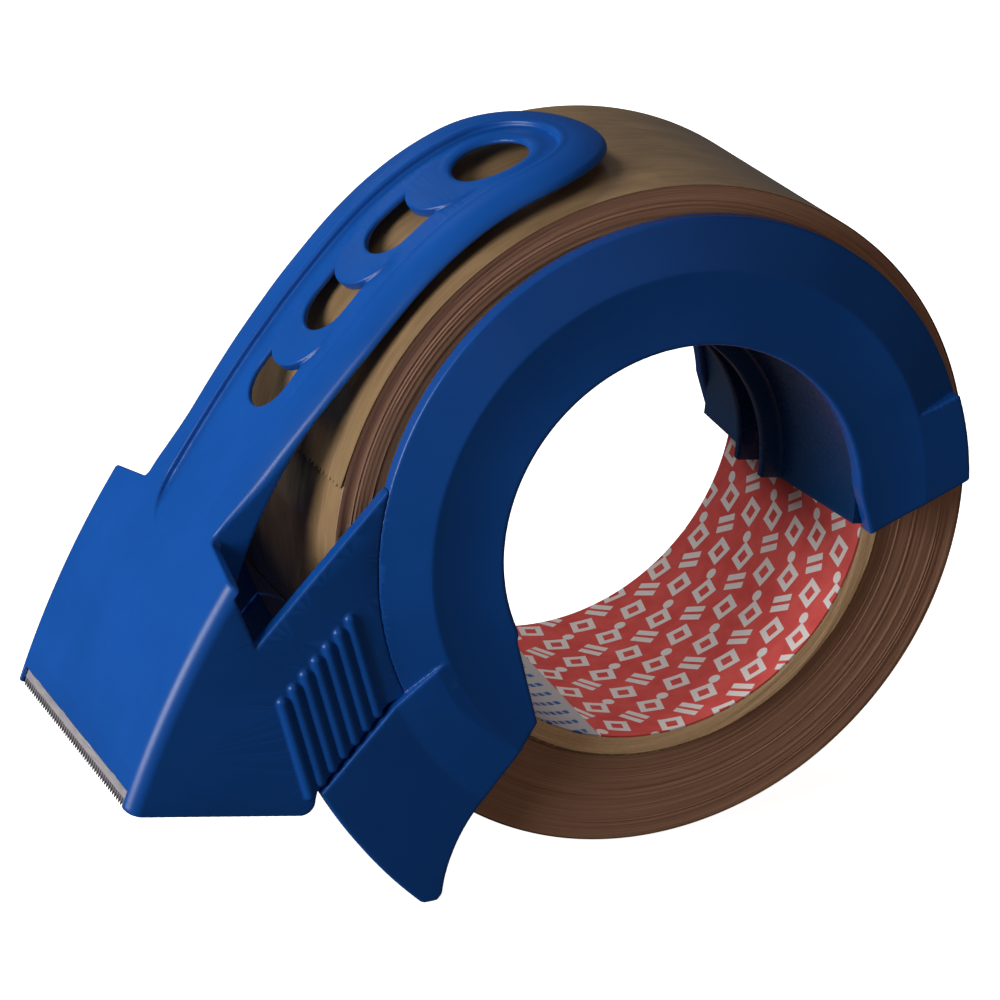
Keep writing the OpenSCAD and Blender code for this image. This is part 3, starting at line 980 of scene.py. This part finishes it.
def steel():
    m = Shader("blade_steel")
    position = m.position()
    stretch = m.node("Mapping")            # streaks run along Y
    m.feed(stretch.inputs["Scale"], (9000, 260, 9000))
    m.feed(stretch.inputs["Vector"], position)
    streak = m.noise(stretch.outputs[0])
    cloud = m.noise(position, scale=160, detail=4)
    colour = m.mix((0.54, 0.50, 0.53), (0.80, 0.76, 0.80), by=m.ramp(streak, span=(0.3, 0.7)))
    colour = m.mix(colour, over=(0.34, 0.29, 0.30),
                   by=m.ramp(cloud, span=(0.5, 0.8), to=(0, 0.45)))
    # painted shade: the ground bevels of the teeth are painted darker than the flat of the
    # strip, by how far they tilt from it, for the shade they fall in
    dot = m.node("VectorMath")
    dot.operation = "DOT_PRODUCT"
    m.feed(dot.inputs[0], m.node("NewGeometry").outputs["True Normal"])
    m.feed(dot.inputs[1], (math.cos(BLADE_A), 0.0, math.sin(BLADE_A)))
    bevel = m.ramp(m.abs(dot.outputs["Value"]), span=(0.974, 0.998), to=(0.86, 0.0))
    m.surface(Base_Color=m.mix(colour, over=(0.07, 0.055, 0.06), by=bevel), Metallic=0.55,
              Roughness=m.ramp(streak, span=(0.3, 0.7), to=(0.38, 0.55)),
              Normal=m.bump(streak, strength=0.12, distance=0.00002))
    return m.material


def film_outer():
    m = Shader("tape_film_outer")
    position = m.position()
    angle, y = m.roll_coords(position, "angle", "y")
    wrap = m.combine(m.mul(angle, 9.0), m.mul(y, 0.35), 0.0)
    band = m.noise(wrap, scale=0.6, rough=0.5, distortion=0.4)
    streak = m.noise(m.combine(m.mul(angle, 2.5), m.mul(y, 1.6), 0.0), detail=4)
    fine = m.noise(position, scale=1400)
    colour = m.mix((0.29, 0.178, 0.085), (0.40, 0.255, 0.13), by=m.ramp(band, span=(0.3, 0.7)))
    colour = m.mix(colour, over=(0.48, 0.33, 0.18),
                   by=m.ramp(streak, span=(0.45, 0.75), to=(0, 0.5)))
    normal = m.bump(band, strength=0.25, distance=0.0009)
    normal = m.bump(streak, strength=0.10, distance=0.00025, normal=normal)
    m.surface(Base_Color=colour, Roughness=m.ramp(streak, span=(0.3, 0.7), to=(0.16, 0.26)),
              Coat_Weight=0.6, Coat_Roughness=0.10, Specular_IOR_Level=0.5,
              Normal=m.bump(fine, strength=0.05, distance=0.00004, normal=normal))
    return m.material


def film_side():
    m = Shader("tape_film_side")
    radius, angle = m.roll_coords(m.position(), "radius", "angle")
    rings = m.noise(m.combine(m.mul(radius, 7.5), m.mul(angle, 1.1), 0.0), detail=5, rough=0.7)
    broad = m.noise(m.combine(m.mul(radius, 0.75), m.mul(angle, 0.8), 3.0))
    fleck = m.noise(m.combine(m.mul(radius, 4.0), m.mul(angle, 70.0), 1.0), rough=0.7)
    colour = m.mix((0.25, 0.125, 0.075), (0.64, 0.385, 0.25),
                   by=m.ramp(rings, span=(0.35, 0.68)))
    colour = m.mix(colour, over=(0.43, 0.235, 0.15),
                   by=m.ramp(broad, span=(0.35, 0.7), to=(0, 0.6)))
    colour = m.mix(colour, over=(0.74, 0.50, 0.34),
                   by=m.ramp(fleck, span=(0.62, 0.8), to=(0, 0.5)))
    normal = m.bump(rings, strength=0.5, distance=0.00012)
    m.surface(Base_Color=colour, Roughness=m.ramp(rings, span=(0.3, 0.7), to=(0.42, 0.62)),
              Specular_IOR_Level=0.4,
              Normal=m.bump(fleck, strength=0.25, distance=0.00006, normal=normal))
    return m.material


def film_first_turns():
    m = Shader("tape_first_turns")
    radius, angle = m.roll_coords(m.position(), "radius", "angle")
    crinkle = m.noise(m.combine(m.mul(radius, 2.0), m.mul(angle, 40.0), 0.0),
                      detail=4, rough=0.65)
    m.surface(Base_Color=m.mix((0.20, 0.125, 0.05), (0.55, 0.40, 0.19),
                               by=m.ramp(crinkle, span=(0.35, 0.7))),
              Roughness=m.ramp(crinkle, span=(0.3, 0.7), to=(0.22, 0.42)),
              Normal=m.bump(crinkle, strength=0.6, distance=0.0003))
    return m.material


def cardboard():
    m = Shader("core_cardboard")
    position = m.position()
    radius, angle, y = m.roll_coords(position, "radius", "angle", "y")
    fibre = m.noise(m.combine(m.mul(radius, 2.4), m.mul(angle, 30.0), m.mul(y, 1.2)),
                    detail=5, rough=0.7)
    ply = m.noise(m.combine(m.mul(radius, 5.0), m.mul(angle, 0.7), 0.0))
    fine = m.noise(position, scale=2600, detail=4, rough=0.7)
    colour = m.mix((0.86, 0.57, 0.30), (0.99, 0.76, 0.47), by=m.ramp(fibre, span=(0.3, 0.72)))
    colour = m.mix(colour, over=(0.70, 0.45, 0.23),
                   by=m.ramp(ply, span=(0.42, 0.6), to=(0, 0.5)))
    colour = m.mix(colour, over=(1.0, 0.84, 0.58),
                   by=m.ramp(fine, span=(0.55, 0.8), to=(0, 0.4)))
    normal = m.bump(ply, strength=0.4, distance=0.00015)
    m.surface(Base_Color=colour, Roughness=0.86, Specular_IOR_Level=0.2,
              Normal=m.bump(fine, strength=0.4, distance=0.00008, normal=normal))
    return m.material


def liner_print():
    """Red with slanted rows of white lozenges, dots and bars, and a pale dashed band."""
    slant = math.radians(32.0)
    row_height, row_shift, repeat = 6.9, 6.4, 19.0
    dash_pitch, dash_row = 2.3, 3.4
    m = Shader("liner_print")
    position = m.position()
    angle, y = m.roll_coords(position, "angle", "y")
    arc = m.mul(angle, CORE_R)
    across = m.add(m.mul(arc, math.cos(slant)), m.mul(y, math.sin(slant)))
    up = m.sub(m.mul(y, math.cos(slant)), m.mul(arc, math.sin(slant)))
    row = m.math("FLOOR", m.math("DIVIDE", up, row_height))
    in_row = m.sub(m.sub(up, m.mul(row, row_height)), row_height / 2)
    shifted = m.add(across, m.mul(row, row_shift))
    turns = m.math("FLOOR", m.math("DIVIDE", shifted, repeat))
    cell = m.sub(shifted, m.mul(turns, repeat))

    def lozenge(centre, half=2.9, hole=1.35):
        reach = m.add(m.abs(m.sub(cell, centre)), m.abs(in_row))
        return m.sub(m.less(reach, half), m.less(reach, hole))

    def bar(centre, half_width=0.62, half_height=2.2):
        wide = m.less(m.abs(m.sub(cell, centre)), half_width)
        return m.mul(wide, m.less(m.abs(in_row), half_height))

    def dot(centre, radius=1.05):
        off = m.sub(cell, centre)
        return m.less(m.add(m.mul(off, off), m.mul(in_row, in_row)), radius * radius)

    ink = lozenge(3.2)
    for shape in (bar(7.7), bar(9.6), lozenge(13.7), dot(17.5)):
        ink = m.math("MAXIMUM", ink, shape)
    fuzz = m.noise(position, scale=5200, detail=2, rough=0.5)
    grime = m.noise(position, scale=220, detail=4)
    speckle = m.ramp(fuzz, span=(0.3, 0.7))
    red = m.mix((0.70, 0.085, 0.078), (0.82, 0.13, 0.115), by=m.ramp(grime, span=(0.3, 0.7)))
    white = m.mix((0.84, 0.76, 0.72), (0.93, 0.88, 0.84), by=speckle)
    colour = m.mix(red, white, by=ink)
    # pale band with small blue dashes, running nearly straight across the liner
    band = m.sub(m.add(arc, 78.0), m.mul(y, 0.06))
    pale = m.less(m.abs(band), 8.5)
    grey = m.mix((0.50, 0.49, 0.49), (0.60, 0.59, 0.585), by=m.ramp(fuzz, span=(0.3, 0.7)))

    def stripe(value, pitch, half):
        place = m.sub(m.math("FRACT", m.math("DIVIDE", value, pitch)), 0.5)
        return m.less(m.abs(place), half)

    dash = m.mul(stripe(up, dash_row, half=0.17), stripe(across, dash_pitch, half=0.36))
    inner = m.less(m.abs(band), 6.6)
    grey = m.mix(grey, over=(0.045, 0.16, 0.42), by=m.mul(dash, inner))
    m.surface(Base_Color=m.mix(colour, grey, by=pale), Specular_IOR_Level=0.35,
              Roughness=m.ramp(fuzz, span=(0.3, 0.7), to=(0.5, 0.62)),
              Normal=m.bump(fuzz, strength=0.12, distance=0.00004))
    return m.material


blue = blue_plastic("body_blue")
# painted shade: the hub collars get a darker copy of the body's blue plastic, standing in for
# the shade inside the hub
hub_blue_painted_shade = blue_plastic("hub_blue_painted_shade", base=(0.0022, 0.034, 0.12), rough=0.24)
bar_blue = blue_plastic("bar_blue", dark=0.9)
blade_steel = steel()
outer_film = film_outer()
side_film = film_side()
inner_film = film_first_turns()
core_card = cardboard()
liner_paper = liner_print()

for piece, *materials in ((body, blue), (near_plate, blue), (far_plate, blue),
                          (near_collar, hub_blue_painted_shade), (far_collar, hub_blue_painted_shade),
                          (blade, blade_steel), (winding, outer_film, side_film),
                          (free_end, outer_film), (core, core_card), (liner, liner_paper),
                          (first_turns, inner_film), (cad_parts["tack_bar"], bar_blue)):
    piece.data.materials.clear()
    for material in materials:
        piece.data.materials.append(material)
for face in winding.data.polygons:
    face.material_index = 1 if abs(face.normal.y) > 0.5 else 0

# ---------------------------------------------------------------- riding
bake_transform(body)
points = coords_mm(body)

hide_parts("nose_housing", "brake_arm")
# piece, what it rides on, the frame piece it replaces, its material slot
for piece, carrier, replaced, slot in (
        (near_plate, "near_jaw", "near_side_plate", "body_plastic"),
        (far_plate, "far_jaw", "far_side_plate", "body_plastic"),
        (near_collar, "near_jaw", "near_hub_collar", "body_plastic"),
        (far_collar, "far_jaw", "far_hub_collar", "body_plastic"),
        (blade, "body", "cutter_blade", "blade_steel"),
        (winding, "roll", "tape_winding", "tape_film"),
        (free_end, "roll", "tape_free_end", "tape_film"),
        (core, "roll", "tape_core", "cardboard"),
        (liner, "roll", "core_liner", "printed_liner"),
        (first_turns, "roll", "tape_first_wraps", "tape_inner")):
    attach(piece, carrier)
    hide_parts(replaced)

# ---------------------------------------------------------------- stage, in metres
scene = bpy.context.scene


def build_world():
    """White to the camera, a dim cool fill for everything else."""
    if scene.world is None:
        scene.world = bpy.data.worlds.new("studio")
    scene.world.use_nodes = True
    tree = scene.world.node_tree
    tree.nodes.clear()
    output = tree.nodes.new("ShaderNodeOutputWorld")
    mix = tree.nodes.new("ShaderNodeMixShader")
    path = tree.nodes.new("ShaderNodeLightPath")
    tree.links.new(path.outputs["Is Camera Ray"], mix.inputs[0])
    for i, colour, strength in ((1, (0.93, 0.96, 1.0, 1), 0.05), (2, (1, 1, 1, 1), 1.0)):
        background = tree.nodes.new("ShaderNodeBackground")
        background.inputs[0].default_value = colour
        background.inputs[1].default_value = strength
        tree.links.new(background.outputs[0], mix.inputs[i])
    tree.links.new(mix.outputs[0], output.inputs[0])


def build_floor():
    bpy.ops.mesh.primitive_plane_add(size=12, location=(0, 0, -0.0598))
    floor = bpy.context.object
    floor.name = "floor"
    m = Shader("floor_pale")
    m.surface(Base_Color=(0.9, 0.9, 0.9), Roughness=0.9, Specular_IOR_Level=0.0,
              Emission_Color=(1, 1, 1), Emission_Strength=0.95)
    floor.data.materials.append(m.material)
    floor.visible_diffuse = False
    floor.visible_glossy = False


def area_light(name, place, target, size, power, color=(1, 1, 1), glossy=False):
    light = bpy.data.lights.new(name, "AREA")
    light.energy = power
    light.size = size
    light.color = color
    ob = bpy.data.objects.new(name, light)
    scene.collection.objects.link(ob)
    ob.location = place
    direction = Vector(target) - Vector(place)
    ob.rotation_euler = direction.to_track_quat("-Z", "Y").to_euler()
    ob.visible_glossy = glossy


def build_camera():
    azimuth, elevation = math.radians(-23.55), math.radians(22.12)
    distance, shift_right, shift_up = 0.72212, 0.01540, 0.00511
    data = bpy.data.cameras.new("photo_camera")
    data.sensor_width = 36.0
    data.lens = 152.9
    data.clip_start = 0.01
    data.clip_end = 50
    camera = bpy.data.objects.new("photo_camera", data)
    scene.collection.objects.link(camera)
    back = Vector((math.sin(azimuth) * math.cos(elevation),
                   -math.cos(azimuth) * math.cos(elevation), math.sin(elevation)))
    right = Vector((math.cos(azimuth), math.sin(azimuth), 0))
    up = back.cross(right)
    place = back * distance - right * shift_right - up * shift_up
    rows = [(right[i], up[i], back[i], place[i]) for i in range(3)]
    camera.matrix_world = Matrix((*rows, (0, 0, 0, 1)))
    scene.camera = camera


build_world()
build_floor()
area_light("key", place=(-0.93, -0.175, 0.24), target=(-0.03, 0, 0.01), size=0.5, power=7.8,
           glossy=True)
area_light("top", place=(-0.10, -0.10, 1.0), target=(0, 0, 0), size=0.6, power=0.7)
area_light("fill", place=(0.25, -1.1, 0.35), target=(0, 0, 0), size=0.8, power=1.2,
           color=(1.0, 0.60, 0.40))
area_light("back", place=(-0.18, 1.0, 0.55), target=(0.02, 0, -0.02), size=0.4, power=9.0)
build_camera()
scene.view_settings.view_transform = "Standard"
